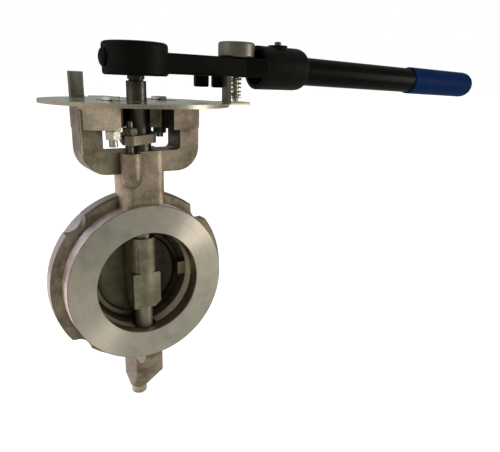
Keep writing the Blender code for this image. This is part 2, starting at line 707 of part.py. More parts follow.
def make_plate(mats):
    mat = mats["plate_stainless"]
    plate = prism("notch_plate", plate_outline(), PLATE_Z0, PLATE_Z1, mat)
    low = PLATE_Z0 - 5.0
    high = PLATE_Z1 + 5.0
    cut(plate, rod("stem_way", 8.6, low, high, mat, 32))
    for angle in (0, 90):
        x, y = polar(PIN_X, angle)
        cut(plate, rod("pin_way", LOCK_PIN_R + 0.7, low, high, mat, 20, "Z", (x, y, 0)))
    for middle in (PLATE_BOLT_ANGLE, PLATE_BOLT_ANGLE + 180):
        slot = curved_slot(PLATE_BOLT_CIRCLE_R, 7.0, middle - 38, middle + 38)
        cut(plate, prism("slot", slot, low, high, mat))
    x, y = polar(50.0, -48.0)
    cut(plate, rod("round_hole", 5.0, low, high, mat, 20, "Z", (x, y, 0)))
    for angle, half_width in TABS:
        add(plate, tab(angle, half_width, mat))
    return plate


def make_plate_bolts(mats):
    made = []
    mat = mats["bright_fastener"]
    x, y = polar(PLATE_BOLT_CIRCLE_R, PLATE_BOLT_ANGLE)
    for side, tag, end, deep in ((-1, "front", 108.0, 6.2), (1, "rear", 111.2, 5.0)):
        centre = (side * x, side * y, 0)
        low = PLATE_Z1 + GAP
        head_line = hexagon(PLATE_BOLT_HEAD, 8.0, (centre[0], centre[1]))
        high = low + PLATE_BOLT_HEAD_HEIGHT
        bolt = prism("plate_bolt_" + tag, head_line, low, high, mat)
        chamfer_nut(bolt, centre, PLATE_BOLT_HEAD / math.sqrt(3.0), low, high)
        add(bolt, rod("shank", 3.0, end, low + 1.0, mat, 16, "Z", centre))
        made.append(bolt)
        high = PAD_BOTTOM_Z - GAP
        nut_line = hexagon(9.8, 14.0, (centre[0], centre[1]))
        nut = prism("plate_nut_" + tag, nut_line, high - deep, high, mat)
        chamfer_nut(nut, centre, 5.66, high - deep, high)
        cut(nut, rod("thread_way", 3.3, high - 12, high + 6, mat, 16, "Z", centre))
        made.append(nut)
    return made


# -------------------------------------------------------------------- lever

def tilted(obj):
    """Lean a socket or tube shape down along the lever's own axis."""
    pivot = Vector((SOCKET_X0 * MM, 0.0, SOCKET_Z * MM))
    turn = Matrix.Rotation(TUBE_DROOP, 4, "Y")
    return place(obj, Matrix.Translation(pivot) @ turn @ Matrix.Translation(-pivot))


def lever_head(mat):
    return turned("lever_casting", [
        (0.0, HEAD_Z1), (HEAD_R - 2.2, HEAD_Z1), (HEAD_R - 0.6, HEAD_Z1 - 0.7),
        (HEAD_R, HEAD_Z1 - 2.4), (HEAD_R, HEAD_Z0 + 1.2), (HEAD_R - 1.2, HEAD_Z0), (0.0, HEAD_Z0),
    ], mat, 48)


def lever_socket(mat):
    """Round barrel that takes the tube, open towards the stem."""
    centre = (0, 0, SOCKET_Z)
    profile = [(0.0, SOCKET_X0), (SOCKET_R - 0.6, SOCKET_X0), (SOCKET_R, SOCKET_X0 + 0.6)]
    for step in range(5):
        angle = math.radians(90.0 - 22.5 * step)
        radius = SOCKET_R - 4.6 + 4.6 * math.sin(angle)
        profile.append((radius, SOCKET_X1 - 7.5 + 7.5 * math.cos(angle)))
    profile.append((0.0, SOCKET_X1))
    barrel = turned("barrel", profile, mat, 36, "X", centre)
    cut(barrel, rod("hollow", SOCKET_R - 3.4, SOCKET_X0 - 6, SOCKET_X0 + 12, mat, 28, "X", centre))
    add(barrel, rod("screw_pad", 8.0, SOCKET_Z + 10, 184.5, mat, 20, "Z", (SOCKET_SCREW_X, 0, 0)))
    return barrel


def lug(name, x0, x1, y0, y1, mat):
    """Downward lug that meets a stop tab, rounded at its lower corners."""
    low = LUG_BOTTOM_Z
    outline = arc(x0 + 1.5, low + 1.5, 1.5, 180, 270, 3)
    outline += arc(x1 - 1.5, low + 1.5, 1.5, 270, 360, 3)
    outline += [(x1, ARM_Z0 + 5.0), (x0, ARM_Z0 + 5.0)]
    return prism(name, outline, y0, y1, mat, "Y")


def arm_cheeks(mat):
    """Widening of the arm that runs out flush on both sides of the socket barrel."""
    y = ARM_HALF_Y
    outline = [(86.0, 1.0 - y), (88.0, 0.1 - y), (105.0, -17.4), (116.0, -17.4)]
    outline += [(116.0, 17.4), (105.0, 17.4), (88.0, y - 0.1), (86.0, y - 1.0)]
    cheeks = prism("cheeks", outline, ARM_Z0 + 0.05, ARM_Z1 - 0.05, mat)
    round_part = rod("round_part", SOCKET_R - 0.05, 80.0, 120.0, mat, 36, "X", (0, 0, SOCKET_Z))
    combine(cheeks, round_part, "INTERSECT")
    return cheeks


def make_lever(mats):
    mat = mats["lever_paint"]
    lever = lever_head(mat)
    barrel = lever_socket(mat)
    line = rounded_rectangle(-ARM_HALF_Y, ARM_HALF_Y, ARM_Z0, ARM_Z1, 1.6, 3)
    arm = prism("arm", line, 12.0, SOCKET_X0 + 14, mat, "X")
    add(barrel, arm)
    add(barrel, arm_cheeks(mat))
    add(lever, barrel)
    add(lever, lug("front_lug", LUG_X0 + 2.0, LUG_X1 - 0.6, -ARM_HALF_Y + 0.3, -6.0, mat))
    wing = box("wing", LUG_X0 + 0.2, LUG_X1 - 2.0, ARM_HALF_Y - 2.0, 19.5, ARM_Z0 + 0.6, ARM_Z1 - 4, mat)
    add(lever, wing)
    add(lever, lug("rear_lug", LUG_X0, LUG_X1 - 1.8, 15.4, 19.7, mat))
    cut(lever, rod("stem_hole", STEM_TOP_R + GAP, HEAD_Z0 - 6, HEAD_Z1 + 6, mat, 32))
    cut(lever, box("keyway", -1.8, 1.8, 2.0, 7.9, HEAD_Z0 - 6, HEAD_Z1 + 6, mat))
    cut(lever, rod("pin_way", LOCK_PIN_R + 0.35, ARM_Z0 - 6, ARM_Z1 + 6, mat, 20, "Z", (PIN_X, 0, 0)))
    bore = rod("tube_bore", TUBE_R + GAP, TUBE_X0 - GAP, SOCKET_X1 + 10, mat, 36, "X", (0, 0, SOCKET_Z))
    cut(lever, tilted(bore))
    cut(lever, rod("screw_way", 3.1, 172.0, 192.0, mat, 16, "Z", (SOCKET_SCREW_X, 0, 0)))
    spot = rod("spot_face", 8.4, -30.0, -22.7, mat, 24, "X", (0, 0, 167.6))
    cut(lever, spot)
    cut(lever, rod("clamp_way", 4.2, -30.0, 1.0, mat, 20, "X", (0, 0, 167.6)))
    return lever


def make_lever_parts(mats):
    made = []
    dark = mats["lever_paint"]
    made.append(turned("clamp_screw", [
        (0.0, -25.9), (3.4, -25.7), (5.2, -25.0), (6.3, -23.9), (6.5, -23.0), (3.9, -23.0),
        (3.9, -6.9), (0.0, -6.9),
    ], dark, 24, "X", (0, 0, 167.6)))
    tube = turned("lever_tube", [
        (9.6, TUBE_X1), (TUBE_R - 0.4, TUBE_X1), (TUBE_R, TUBE_X1 - 0.4), (TUBE_R, TUBE_X0),
        (9.6, TUBE_X0),
    ], mats["tube_paint"], 36, "X", (0, 0, SOCKET_Z))
    made.append(tilted(tube))
    profile = [(TUBE_R + GAP, GRIP_X0), (TUBE_R + GAP, TUBE_X1 + 0.5), (0.0, TUBE_X1 + 0.5)]
    profile.append((0.0, TUBE_X1 + GRIP_R))
    for step in range(1, 7):
        angle = math.radians(15.0 * step)
        profile.append((GRIP_R * math.sin(angle), TUBE_X1 + GRIP_R * math.cos(angle)))
    profile += [(GRIP_R, GRIP_X0 + 0.6), (GRIP_R - 0.4, GRIP_X0)]
    grip = turned("grip_sleeve", profile, mats["grip_vinyl"], 36, "X", (0, 0, SOCKET_Z))
    made.append(tilted(grip))
    made.append(turned("socket_screw", [
        (0.0, 187.4), (2.4, 187.4), (2.8, 187.0), (2.8, 178.3), (0.0, 178.3),
    ], mats["bright_fastener"], 16, "Z", (SOCKET_SCREW_X, 0, 0)))
    made.append(make_spring(mats["spring_steel"]))
    return made


def make_spring(mat):
    """Open coil with closed end turns, between the arm and the clip on the lock pin."""
    low = SPRING_Z0
    high = SPRING_Z1
    turns = 6.0
    per_turn = 12
    radius = 4.3
    count = int(turns * per_turn) + 1
    curve = bpy.data.curves.new("spring_line", "CURVE")
    curve.dimensions = "3D"
    curve.bevel_depth = 0.55 * MM
    curve.bevel_resolution = 1
    curve.use_fill_caps = True
    line = curve.splines.new("POLY")
    line.points.add(count - 1)
    closed_turn = 1.2
    rise = 1.15
    pitch = (high - low - 2 * rise) / (turns - 2 * closed_turn)
    for step, target in enumerate(line.points):
        turn = turns * step / (count - 1)
        height = rise * min(turn, closed_turn) / closed_turn
        height += pitch * min(max(turn - closed_turn, 0.0), turns - 2 * closed_turn)
        height += rise * max(turn - (turns - closed_turn), 0.0) / closed_turn
        angle = 2.0 * math.pi * turn
        x = PIN_X + radius * math.cos(angle)
        y = radius * math.sin(angle)
        target.co = (x * MM, y * MM, (low + height) * MM, 1.0)
    helper = bpy.data.objects.new("spring_line", curve)
    bpy.context.scene.collection.objects.link(helper)
    bpy.context.view_layer.update()
    graph = bpy.context.evaluated_depsgraph_get()
    mesh = bpy.data.meshes.new_from_object(helper.evaluated_get(graph))
    bm = bmesh.new()
    bm.from_mesh(mesh)
    bpy.data.objects.remove(helper)
    bpy.data.curves.remove(curve)
    bpy.data.meshes.remove(mesh)
    return new_object("lock_spring", bm, mat, 60.0)


def make_lock_pin(mats):
    made = []
    steel = mats["bright_fastener"]
    made.append(turned("lock_pin", [
        (0.0, 181.4), (LOCK_PIN_R, 181.4), (LOCK_PIN_R, PLATE_Z1 + 1.3),
        (LOCK_PIN_R - 0.8, PLATE_Z1 + 0.4), (0.0, PLATE_Z1 + 0.4),
    ], steel, 20, "Z", (PIN_X, 0, 0)))
    made.append(turned("lock_knob", [
        (0.0, KNOB_Z1), (KNOB_R - 1.6, KNOB_Z1), (KNOB_R - 0.5, KNOB_Z1 - 0.45), (KNOB_R, KNOB_Z1 - 1.6),
        (KNOB_R, KNOB_Z0 + 0.7), (KNOB_R - 0.7, KNOB_Z0), (LOCK_PIN_R + GAP, KNOB_Z0),
        (LOCK_PIN_R + GAP, 181.8), (0.0, 181.8),
    ], mats["turned_stainless"], 40, "Z", (PIN_X, 0, 0)))
    clip = ring("pin_clip", LOCK_PIN_R + GAP, 4.9, CLIP_Z0, CLIP_Z1, steel, 20, "Z", (PIN_X, 0, 0))
    made.append(clip)
    return made


# --------------------------------------------------------------------- build

def set_origins():
    """Put every moving piece's origin on its joint's axis."""
    pin_nodes = {"lock_pin", "lock_knob", "pin_clip"}
    for obj in bpy.context.scene.objects:
        if obj.name in pin_nodes:
            shift = Vector((PIN_X * MM, 0.0, 0.0))
            obj.data.transform(Matrix.Translation(-shift))
            obj.location = shift


def main():
    for obj in list(bpy.data.objects):
        bpy.data.objects.remove(obj, do_unlink=True)
    mats = make_materials()
    make_body(mats)
    make_seat(mats)
    make_bearings(mats)
    make_gland(mats)
    make_disc(mats)
    make_stem(mats)
    make_plate(mats)
    make_plate_bolts(mats)
    make_lever(mats)
    make_lever_parts(mats)
    make_lock_pin(mats)
    set_origins()


main()
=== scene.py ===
"""Looks of the wafer butterfly valve: finer pieces, materials, floor, light and camera.

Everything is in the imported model's frame: metres, +Z up the stem, +Y along the pipe, +X along the
lever. Material patterns and the limits of painted regions are given in millimetres.
"""
import json
import math

import bmesh
import bpy
from mathutils import Matrix, Vector

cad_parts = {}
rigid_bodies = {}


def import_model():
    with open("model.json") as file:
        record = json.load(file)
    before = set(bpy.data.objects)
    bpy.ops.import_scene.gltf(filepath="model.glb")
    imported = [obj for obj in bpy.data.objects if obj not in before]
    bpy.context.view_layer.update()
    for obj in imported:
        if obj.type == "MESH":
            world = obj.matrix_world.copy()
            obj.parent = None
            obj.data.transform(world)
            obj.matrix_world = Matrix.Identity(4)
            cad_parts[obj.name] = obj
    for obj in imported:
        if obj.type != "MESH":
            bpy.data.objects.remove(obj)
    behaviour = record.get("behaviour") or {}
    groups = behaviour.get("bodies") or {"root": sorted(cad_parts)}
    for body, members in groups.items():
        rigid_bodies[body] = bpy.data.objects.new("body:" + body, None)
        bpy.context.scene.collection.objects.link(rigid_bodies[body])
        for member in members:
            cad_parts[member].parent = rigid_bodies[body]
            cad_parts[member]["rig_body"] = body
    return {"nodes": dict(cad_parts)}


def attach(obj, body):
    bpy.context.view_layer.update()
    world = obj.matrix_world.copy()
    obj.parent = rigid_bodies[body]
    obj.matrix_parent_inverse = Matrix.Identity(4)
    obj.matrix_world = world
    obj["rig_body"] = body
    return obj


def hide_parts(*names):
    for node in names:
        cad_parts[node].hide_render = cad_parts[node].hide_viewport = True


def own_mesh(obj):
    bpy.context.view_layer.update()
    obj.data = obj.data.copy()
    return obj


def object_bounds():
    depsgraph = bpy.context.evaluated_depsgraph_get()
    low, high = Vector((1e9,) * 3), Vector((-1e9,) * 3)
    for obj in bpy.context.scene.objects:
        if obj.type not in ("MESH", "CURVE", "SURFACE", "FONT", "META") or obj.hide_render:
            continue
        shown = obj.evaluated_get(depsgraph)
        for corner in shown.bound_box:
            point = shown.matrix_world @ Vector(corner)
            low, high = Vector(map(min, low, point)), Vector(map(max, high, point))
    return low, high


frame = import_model()
cad_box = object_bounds()
MM = 0.001
WHITE = (1.0, 1.0, 1.0, 1.0)
ON_AXIS = (0.0, 0.0, 0.0)

# sockets of a Mix node that blends two colours
MIX_FAC = 0
MIX_A = 6
MIX_B = 7
MIX_COLOUR = 2

CREVICE_SAMPLES = 6

# tints multiplied into a colour
OLIVE_TINT = (0.90, 0.97, 0.90)
# painted shade in the tight corners of the castings
CORNER_SHADE_TINT = (0.34, 0.29, 0.23)
# painted shade on the disc, and round the painted highlight on the bevel
PAINTED_SHADE_TINT = (0.22, 0.21, 0.20)
# oil stains on the stem, and painted shade on the gasket face and under the lever
OIL_AND_SHADE_TINT = (0.26, 0.26, 0.25)

# colours blended over another
DULL_RING = (0.30, 0.28, 0.25)
# painted shade in the corners of fasteners
FASTENER_CORNER_SHADE = (0.12, 0.10, 0.08)
DUST = (0.20, 0.19, 0.17)
VINYL_DARK = (0.0035, 0.018, 0.088)
VINYL_LIGHT = (0.0055, 0.028, 0.125)
VINYL_SCUFF = (0.03, 0.07, 0.22)
SHEARED_DARK = (0.39, 0.365, 0.29)
SHEARED_LIGHT = (0.49, 0.46, 0.375)


# ------------------------------------------------------------------ shader building

def scaled(colour, factor):
    """The same colour, lighter or darker."""
    return tuple(factor * part for part in colour)


class Shader:
    """A short way to write a node tree for one material."""

    def __init__(self, name):
        self.mat = bpy.data.materials.new(name)
        self.mat.use_nodes = True
        self.tree = self.mat.node_tree
        self.bsdf = self.tree.nodes["Principled BSDF"]
        self._coords = None

    def add(self, kind, **settings):
        node = self.tree.nodes.new(kind)
        for key, value in settings.items():
            setattr(node, key, value)
        return node

    def put(self, socket, value):
        if isinstance(value, bpy.types.NodeSocket):
            self.tree.links.new(value, socket)
        else:
            socket.default_value = value

    def set(self, name, value):
        """Set or link one socket of the Principled shader."""
        self.put(self.bsdf.inputs[name], value)

    def coords(self):
        """Position on the object, in millimetres."""
        if self._coords is None:
            source = self.add("ShaderNodeTexCoord")
            scale = self.add("ShaderNodeVectorMath", operation="SCALE")
            self.tree.links.new(source.outputs["Object"], scale.inputs[0])
            scale.inputs["Scale"].default_value = 1000.0
            self._coords = scale.outputs[0]
        return self._coords

    def stretched(self, x, y, z):
        node = self.add("ShaderNodeVectorMath", operation="MULTIPLY")
        self.tree.links.new(self.coords(), node.inputs[0])
        node.inputs[1].default_value = (x, y, z)
        return node.outputs[0]

    def math(self, operation, a, b):
        node = self.add("ShaderNodeMath", operation=operation)
        self.put(node.inputs[0], a)
        self.put(node.inputs[1], b)
        return node.outputs[0]

    def noise(self, scale, detail=3.0, rough=0.55, vector=None):
        node = self.add("ShaderNodeTexNoise")
        self.put(node.inputs["Vector"], vector or self.coords())
        node.inputs["Scale"].default_value = scale
        node.inputs["Detail"].default_value = detail
        node.inputs["Roughness"].default_value = rough
        return node.outputs["Fac"]

    def line_noise(self, along, scale, detail, rough):
        """Noise that changes only with one number, such as the distance from an axis."""
        node = self.add("ShaderNodeTexNoise", noise_dimensions="1D")
        self.put(node.inputs["W"], along)
        node.inputs["Scale"].default_value = scale
        node.inputs["Detail"].default_value = detail
        node.inputs["Roughness"].default_value = rough
        return node.outputs["Fac"]

    def cells(self, scale):
        """Distance from the nearest point of a scattered set."""
        node = self.add("ShaderNodeTexVoronoi")
        self.put(node.inputs["Vector"], self.coords())
        node.inputs["Scale"].default_value = scale
        return node.outputs["Distance"]

    def ramp(self, fac, *stops):
        """Colour from a number, with stops of (place, colour)."""
        node = self.add("ShaderNodeValToRGB")
        self.put(node.inputs["Fac"], fac)
        ramp = node.color_ramp
        while len(ramp.elements) < len(stops):
            ramp.elements.new(0.5)
        for element, (place, colour) in zip(ramp.elements, stops):
            element.position = place
            element.color = (*colour, 1.0)
        return node.outputs["Color"]

    def range(self, value, low, high, new_low, new_high):
        node = self.add("ShaderNodeMapRange")
        self.put(node.inputs["Value"], value)
        limits = (("From Min", low), ("From Max", high), ("To Min", new_low), ("To Max", new_high))
        for name, number in limits:
            node.inputs[name].default_value = number
        return node.outputs["Result"]

    def blend(self, fac, a, b, mode="MIX"):
        node = self.add("ShaderNodeMix", data_type="RGBA", blend_type=mode)
        self.put(node.inputs[MIX_FAC], fac)
        for place, value in ((MIX_A, a), (MIX_B, b)):
            if isinstance(value, tuple):
                value = (*value, 1.0)
            self.put(node.inputs[place], value)
        return node.outputs[MIX_COLOUR]

    def tint(self, colour, tint):
        return self.blend(1.0, colour, tint, "MULTIPLY")

    def bump(self, height, distance, strength=1.0, normal=None):
        """distance is in millimetres."""
        node = self.add("ShaderNodeBump")
        node.inputs["Strength"].default_value = strength
        node.inputs["Distance"].default_value = distance * MM
        self.put(node.inputs["Height"], height)
        if normal is not None:
            self.put(node.inputs["Normal"], normal)
        return node.outputs["Normal"]

    def parts(self):
        """The position's X, Y and Z, in millimetres."""
        node = self.add("ShaderNodeSeparateXYZ")
        self.put(node.inputs[0], self.coords())
        return node.outputs

    def away_from(self, centre):
        shift = self.add("ShaderNodeVectorMath", operation="SUBTRACT")
        self.put(shift.inputs[0], self.coords())
        shift.inputs[1].default_value = centre
        return shift.outputs[0]

    def radius(self, axis, centre):
        """Distance from a line along that axis, in millimetres."""
        away = self.away_from(centre)
        keep = self.add("ShaderNodeVectorMath", operation="MULTIPLY")
        self.put(keep.inputs[0], away)
        keep.inputs[1].default_value = tuple(0.0 if name == axis else 1.0 for name in "XYZ")
        length = self.add("ShaderNodeVectorMath", operation="LENGTH")
        self.put(length.inputs[0], keep.outputs[0])
        return length.outputs["Value"]

    def turning_tangent(self, axis, centre):
        """Direction across the lathe marks round an axis, along which the highlight is drawn out."""
        away = self.away_from(centre)
        marks = self.add("ShaderNodeVectorMath", operation="CROSS_PRODUCT")
        marks.inputs[0].default_value = tuple(1.0 if name == axis else 0.0 for name in "XYZ")
        self.put(marks.inputs[1], away)
        world = self.add("ShaderNodeVectorTransform", vector_type="VECTOR",
                         convert_from="OBJECT", convert_to="WORLD")
        self.put(world.inputs[0], marks.outputs[0])
        across = self.add("ShaderNodeVectorMath", operation="CROSS_PRODUCT")
        self.put(across.inputs[0], self.add("ShaderNodeNewGeometry").outputs["Normal"])
        self.put(across.inputs[1], world.outputs[0])
        return across.outputs[0]

    def crevice(self, distance):
        """0 in tight corners and 1 in the open."""
        node = self.add("ShaderNodeAmbientOcclusion", samples=CREVICE_SAMPLES)
        node.inputs["Distance"].default_value = distance * MM
        return node.outputs["AO"]


# ------------------------------------------------------------------------ materials

def cast_steel(name, dark, light, rough=(0.40, 0.58), grain=0.10, crevice=7.0, metal=0.9,
               stain=None):
    """Blasted stainless casting: patchy colour, fine grain, painted shade darkening the corners.

    rough is the lowest and highest roughness. grain is the height of the grain and crevice how far
    from a corner the painted shade reaches, both in millimetres. The last argument takes the shader
    and gives 0 where painted shade darkens the surface and 1 where it keeps its colour.
    """
    s = Shader(name)
    patches = s.noise(0.06, 4.0, 0.65)
    specks = s.noise(0.55, 4.0, 0.7)
    colour = s.ramp(patches, (0.38, dark), (0.62, light))
    olive = s.range(s.noise(0.035, 2.0, 0.5), 0.42, 0.62, 0.0, 0.8)
    colour = s.blend(olive, colour, s.tint(colour, OLIVE_TINT))
    speck_tint = s.ramp(specks, (0.32, (0.60, 0.56, 0.52)), (0.58, (1.05, 1.04, 1.03)))
    colour = s.blend(0.5, colour, speck_tint, "MULTIPLY")
    # painted shade: the colour is darkened in tight corners, where shade falls
    open_part = s.crevice(crevice)
    dirt = s.range(open_part, 0.25, 0.85, 0.0, 1.0)
    colour = s.blend(dirt, s.tint(colour, CORNER_SHADE_TINT), colour)
    # painted shade from the last argument
    if stain:
        colour = s.blend(stain(s), s.tint(colour, PAINTED_SHADE_TINT), colour)
    s.set("Base Color", colour)
    s.set("Metallic", metal)
    s.set("Roughness", s.range(s.noise(0.25, 5.0, 0.65), 0.3, 0.7, rough[0], rough[1]))
    pits = s.range(s.cells(0.5), 0.0, 0.35, 0.0, 1.0)
    fine = s.bump(s.noise(1.7, 5.0, 0.62), grain, 0.8)
    s.set("Normal", s.bump(pits, grain * 0.8, 0.45, fine))
    return s.mat


def turned_steel(name, axis, colour, rough, stretch=0.72, centre=ON_AXIS, pitch=2.2, wear=0.5,
                 relief=0.012, uneven=0.22, stain=None):
    """Lathe-turned stainless: rings about an axis and a highlight drawn out across them.

    stretch is how far the highlight is drawn out, pitch the number of rings in a millimetre, relief
    their height in millimetres, uneven the share of dull rings and wear the share of the stains.
    The last argument works as in cast_steel; the stem uses it for oil stains as well as painted
    shade.
    """
    s = Shader(name)
    far = s.radius(axis, centre)
    along = s.parts()[axis]
    place = s.math("ADD", far, s.math("MULTIPLY", along, 0.77))
    marks = s.line_noise(place, pitch, 5.0, 0.72)
    broad = s.line_noise(place, pitch * 0.12, 2.0, 0.5)
    stains = s.noise(0.09, 4.0, 0.6)
    base = s.ramp(marks, (0.32, scaled(colour, 0.82)), (0.62, colour))
    base = s.blend(s.range(broad, 0.35, 0.65, 0.0, uneven), base, DULL_RING)
    base = s.blend(s.range(stains, 0.45, 0.75, 0.0, wear), base, scaled(colour, 0.62))
    # oil stains and painted shade from the last argument
    if stain:
        base = s.blend(stain(s), s.tint(base, OIL_AND_SHADE_TINT), base)
    s.set("Base Color", base)
    s.set("Metallic", 1.0)
    spread = s.math("ADD", s.range(marks, 0.3, 0.7, -0.05, 0.06),
                    s.range(stains, 0.3, 0.7, 0.0, 0.10))
    s.set("Roughness", s.math("ADD", spread, rough))
    s.set("Anisotropic", stretch)
    s.set("Tangent", s.turning_tangent(axis, centre))
    s.set("Normal", s.bump(marks, relief, 0.5))
    return s.mat


def sheet_steel(name, colour, rough):
    """Bright rolled sheet with faint grain and handling marks."""
    s = Shader(name)
    grain = s.noise(1.0, 4.0, 0.6, s.stretched(0.06, 2.4, 0.06))
    smears = s.noise(0.06, 4.0, 0.6)
    base = s.ramp(grain, (0.3, scaled(colour, 0.85)), (0.7, scaled(colour, 1.06)))
    base = s.blend(s.range(smears, 0.45, 0.75, 0.0, 0.5), base, scaled(colour, 0.64))
    s.set("Base Color", base)
    s.set("Metallic", 1.0)
    s.set("Roughness", s.math("ADD", s.range(grain, 0.3, 0.7, rough, rough + 0.07),
                              s.range(smears, 0.4, 0.8, 0.0, 0.14)))
    s.set("Normal", s.bump(grain, 0.002, 0.3))
    return s.mat


def cut_edge(name):
    """Sheared and dressed edge of the sheet, warmer and duller than its faces."""
    s = Shader(name)
    streaks = s.noise(0.8, 4.0, 0.65, s.stretched(1.6, 1.6, 0.25))
    s.set("Base Color", s.ramp(streaks, (0.3, SHEARED_DARK), (0.7, SHEARED_LIGHT)))
    s.set("Metallic", 1.0)
    s.set("Roughness", s.range(streaks, 0.3, 0.7, 0.30, 0.48))
    s.set("Normal", s.bump(streaks, 0.012, 0.5))
    return s.mat


def fastener_steel(name, colour, rough):
    """Machined fastener: metal with small dents, stains, and painted shade darkening its corners."""
    s = Shader(name)
    spots = s.noise(0.5, 4.0, 0.65)
    base = s.ramp(spots, (0.30, scaled(colour, 0.55)), (0.55, colour))
    # painted shade: darker in the fastener's tight corners
    base = s.blend(s.range(s.crevice(2.5), 0.2, 0.8, 0.7, 0.0), base, FASTENER_CORNER_SHADE)
    s.set("Base Color", base)
    s.set("Metallic", 1.0)
    s.set("Roughness", s.range(spots, 0.3, 0.7, rough + 0.16, rough))
    s.set("Normal", s.bump(s.noise(1.2, 3.0, 0.6), 0.04, 0.5))
    return s.mat


def black_paint(name, colour, rough, grain, coarse, gloss):
    """Satin black paint: the texture of the metal under it, thin in patches, with dust specks.

    grain is the height of the texture in millimetres, coarse the number of its bumps in one, and
    gloss the strength of the paint's reflection.
    """
    s = Shader(name)
    sand = s.noise(coarse, 5.0, 0.62)
    patches = s.noise(0.07, 3.0, 0.6)
    thin = tuple(1.7 * part + 0.001 for part in colour)
    base = s.ramp(patches, (0.3, colour), (0.75, thin))
    flecks = s.range(s.cells(0.28), 0.035, 0.055, 1.0, 0.0)
    flecks = s.math("MULTIPLY", flecks, s.range(s.noise(0.05, 2.0), 0.5, 0.62, 0.0, 0.55))
    base = s.blend(flecks, base, DUST)
    s.set("Base Color", base)
    s.set("Roughness", s.range(s.noise(0.35, 4.0, 0.6), 0.3, 0.7, rough - 0.06, rough + 0.10))
    s.set("Specular IOR Level", gloss)
    fine = s.bump(sand, grain, 0.7)
    s.set("Normal", s.bump(s.noise(0.16, 2.0), grain * 2.5, 0.35, fine))
    return s.mat


def vinyl(name):
    """Dipped vinyl: even blue, soft gloss, faint runs along the length."""
    s = Shader(name)
    cloud = s.noise(0.05, 3.0, 0.5)
    base = s.ramp(cloud, (0.3, VINYL_DARK), (0.7, VINYL_LIGHT))
    scuffs = s.noise(0.7, 5.0, 0.7, s.stretched(0.10, 1.0, 1.0))
    base = s.blend(s.range(scuffs, 0.58, 0.76, 0.0, 0.25), base, VINYL_SCUFF)
    s.set("Base Color", base)
    s.set("Roughness", s.range(scuffs, 0.3, 0.7, 0.34, 0.50))
    s.set("Specular IOR Level", 0.012)
    dimples = s.bump(s.noise(1.3, 3.0, 0.5), 0.05, 0.5)
    runs = s.noise(0.12, 2.0, 0.5, s.stretched(0.5, 1.0, 1.0))
    s.set("Normal", s.bump(runs, 0.5, 0.5, dimples))
    return s.mat


def polymer(name, colour, rough):
    """Moulded or skived plastic with slight mottling."""
    s = Shader(name)
    mottle = s.noise(0.3, 4.0, 0.6)
    s.set("Base Color", s.ramp(mottle, (0.3, scaled(colour, 0.86)), (0.7, colour)))
    s.set("Roughness", s.range(mottle, 0.3, 0.7, rough - 0.05, rough + 0.08))
    s.set("Normal", s.bump(s.noise(1.5, 3.0), 0.03, 0.5))
    return s.mat


def disc_stain(s):
    """Painted shadow on the right half of the disc's plate; none on its left half and on the hub."""
    place = s.parts()
    side = s.range(place["X"], 3.0, 12.0, 1.0, 0.0)
    hub = s.range(place["Y"], 8.0, 11.0, 1.0, 0.0)
    return s.math("MAXIMUM", side, hub)


def face_stain(s):
    """Painted shade: slightly darker towards the upper left of the gasket face."""
    place = s.parts()
    across = s.math("SUBTRACT", place["X"], s.math("MULTIPLY", place["Z"], 0.5))
    return s.range(across, -60.0, 45.0, 0.70, 1.0)


def stem_stain(s):
    """Bright in the bore, oiled dark from the neck up, and darkest where it meets the lever, a
    painted shadow under the lever.
    """
    z = s.parts()["Z"]
    return s.math("ADD", s.range(z, 50.0, 62.0, 1.0, 0.16), s.range(z, 146.0, 149.0, 0.0, -0.16))


def relief_stain(s):
    """Painted highlight: full colour only low on the right of the bore, darker elsewhere."""
    place = s.parts()
    high = s.range(place["Z"], 2.0, 22.0, 1.0, 0.25)
    return s.math("MULTIPLY", high, s.range(place["X"], 0.0, 24.0, 0.25, 1.0))


LOCK_PIN_AXIS = (84.5, 0.0, 0.0)

CAST = cast_steel("cast_stainless", (0.225, 0.180, 0.140), (0.47, 0.385, 0.318))
CAST_BORE = cast_steel("bore_wall", (0.38, 0.315, 0.25), (0.54, 0.45, 0.36), (0.35, 0.5), 0.05,
                       12.0)
# painted shade: a darker copy of the casting
SHADED_CAST = cast_steel("shaded_cast", (0.19, 0.155, 0.125), (0.30, 0.25, 0.21))
# painted light: a lighter copy of the casting for the pad's slanted face
LIT_CAST = cast_steel("lit_cast", (0.66, 0.54, 0.455), (0.92, 0.77, 0.665))
# painted light: a lighter copy of the casting for the neck's left side
LIT_NECK_CAST = cast_steel("lit_neck_cast", (0.36, 0.295, 0.24), (0.62, 0.515, 0.435))
GLAND = cast_steel("gland_casting", (0.19, 0.16, 0.125), (0.30, 0.26, 0.215), crevice=5.0)
# painted shadow on the right half of the disc's plate
DISC = cast_steel("disc_casting", (0.215, 0.197, 0.148), (0.375, 0.34, 0.26), (0.38, 0.52), 0.09,
                  9.0, stain=disc_stain)
# painted shade towards the upper left of the gasket face
FACE = turned_steel("gasket_face", "Y", (0.773, 0.722, 0.644), 0.33, 0.95, pitch=3.0, wear=0.35,
                    relief=0.006, uneven=0.05, stain=face_stain)
RIM = turned_steel("turned_rim", "Y", (1.0, 0.88, 0.90), 0.27, 0.92, pitch=1.5, wear=0.1,
                   relief=0.004, uneven=0.0)
FLANGE_RIM = turned_steel("flange_rim", "Y", (0.70, 0.615, 0.63), 0.40, 0.92, pitch=1.5, wear=0.2,
                          relief=0.004, uneven=0.0)
